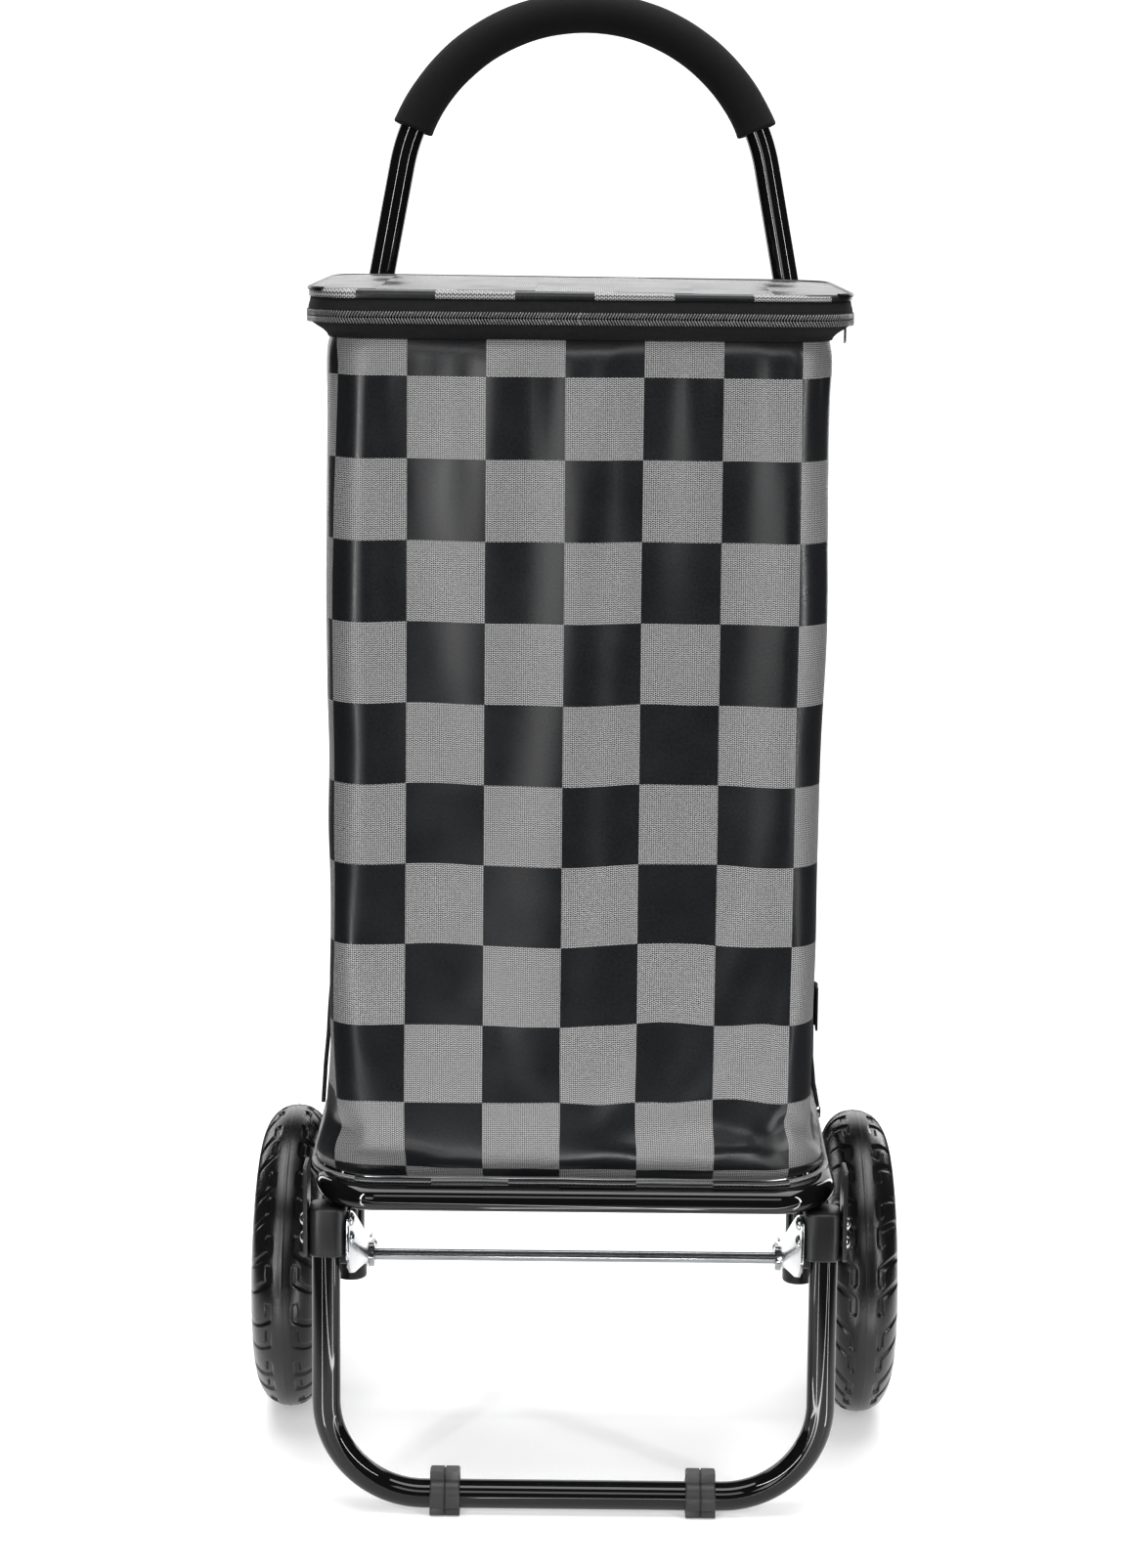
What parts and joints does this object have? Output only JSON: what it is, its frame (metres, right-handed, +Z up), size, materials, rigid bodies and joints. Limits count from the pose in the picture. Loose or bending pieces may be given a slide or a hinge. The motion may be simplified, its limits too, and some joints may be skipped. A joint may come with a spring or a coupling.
{
  "type": "shopping trolley",
  "caption": "Shopping trolley on wheels with a leaning arched handle, a folding tray, a standing foot and a checked fabric bag closed by a zipped lid.",
  "frame": {"origin": "on the ground, under the middle of the trolley's bounding box", "axes": "+Z up, +Y from the front of the bag towards the handle, +X across"},
  "size_m": [0.431, 0.3083, 0.968],
  "materials": {
    "black_gloss_paint": "gloss black powder coat with narrow highlights",
    "black_foam": "matt closed-cell foam with a fine grain",
    "black_satin_plastic": "satin black moulded plastic",
    "dark_grey_plastic": "satin dark grey moulded plastic with ribs and a centre seam",
    "zinc_chrome": "bright zinc or chrome plate, lightly brushed",
    "tyre_rubber": "matt black moulded rubber with a mould seam and paired slanting grooves",
    "rim_plastic": "satin black moulded plastic",
    "checked_fabric": "coated polyester woven in 50 mm dark and grey checks, the grey ones with a fine zigzag of light threads",
    "zip_tape_fabric": "black woven zip tape",
    "zip_teeth_grey": "silver-grey nylon coil",
    "board_plastic": "black plastic board",
    "black_webbing": "black woven webbing",
    "slider_metal": "dark plated zinc casting"
  },
  "bodies": {
    "frame": {"handle_frame": "black_gloss_paint", "handle_grip": "black_foam", "cross_brace": "black_gloss_paint", "foot_frame": "black_gloss_paint", "axle": "zinc_chrome", "bag_shell": "checked_fabric", "zip_tape_lower": "zip_tape_fabric", "zip_teeth_lower": "zip_teeth_grey", "upright_cap_left": "black_satin_plastic", "upright_cap_right": "black_satin_plastic", "leg_sleeve_left": "black_satin_plastic", "leg_sleeve_right": "black_satin_plastic", "tray_stop_left": "black_gloss_paint", "tray_stop_right": "black_gloss_paint", "side_plate_left": "zinc_chrome", "side_plate_right": "zinc_chrome", "plate_rivet_left": "zinc_chrome", "plate_rivet_right": "zinc_chrome", "ear_rivet_left": "zinc_chrome", "ear_rivet_right": "zinc_chrome", "foot_clip_left": "dark_grey_plastic", "foot_clip_right": "dark_grey_plastic", "tray_ear_left": "black_gloss_paint", "tray_ear_right": "black_gloss_paint", "tray_pin_left": "zinc_chrome", "tray_pin_right": "zinc_chrome", "axle_spacer_left": "black_satin_plastic", "axle_spacer_right": "black_satin_plastic", "axle_washer_left": "zinc_chrome", "axle_washer_right": "zinc_chrome", "axle_nut_left": "zinc_chrome", "axle_nut_right": "zinc_chrome", "strap_lower_left": "black_webbing", "strap_lower_right": "black_webbing", "strap_upper_left": "black_webbing", "strap_upper_right": "black_webbing", "leg_rivet_left_1": "zinc_chrome", "leg_rivet_left_2": "zinc_chrome", "leg_rivet_right_1": "zinc_chrome", "leg_rivet_right_2": "zinc_chrome"},
    "tray": {"tray_loop": "black_gloss_paint", "tray_bar_1": "black_gloss_paint", "tray_bar_2": "black_gloss_paint", "tray_bar_3": "black_gloss_paint", "base_board": "board_plastic"},
    "wheel_left": {"tyre_left": "tyre_rubber", "rim_left": "rim_plastic", "bush_left_inner": "black_satin_plastic", "bush_left_outer": "black_satin_plastic", "hub_cap_left": "black_satin_plastic"},
    "wheel_right": {"tyre_right": "tyre_rubber", "rim_right": "rim_plastic", "bush_right_inner": "black_satin_plastic", "bush_right_outer": "black_satin_plastic", "hub_cap_right": "black_satin_plastic"},
    "lid": {"lid_panel": "checked_fabric", "zip_tape_upper": "zip_tape_fabric", "zip_teeth_upper": "zip_teeth_grey"},
    "slider": {"zip_slider": "slider_metal"},
    "puller": {"zip_puller": "slider_metal"}
  },
  "joints": [
    {"name": "tray_fold", "type": "hinge", "parent": "frame", "child": "tray", "pos_m": [0, 0.03628, 0.209], "axis": [-1, 0, 0], "range_deg": [0, 90], "deforming": ["bag_shell"]},
    {"name": "lid_hinge", "type": "hinge", "parent": "frame", "child": "lid", "pos_m": [0, 0.10182, 0.7687], "axis": [-1, 0, 0], "range_deg": [0, 90]},
    {"name": "wheel_left_spin", "type": "hinge", "parent": "frame", "child": "wheel_left", "pos_m": [-0.193, 0.04281, 0.1015], "axis": [1, 0, 0], "continuous": true},
    {"name": "wheel_right_spin", "type": "hinge", "parent": "frame", "child": "wheel_right", "pos_m": [0.193, 0.04281, 0.1015], "axis": [1, 0, 0], "continuous": true},
    {"name": "zip_slide", "type": "slide", "parent": "frame", "child": "slider", "axis": [0, -1, 0], "range_m": [0, 0.132]},
    {"name": "puller_swing", "type": "hinge", "parent": "slider", "child": "puller", "pos_m": [0.1734, 0.03782, 0.7571], "axis": [0, -1, 0], "range_deg": [0, 150]}
  ]
}
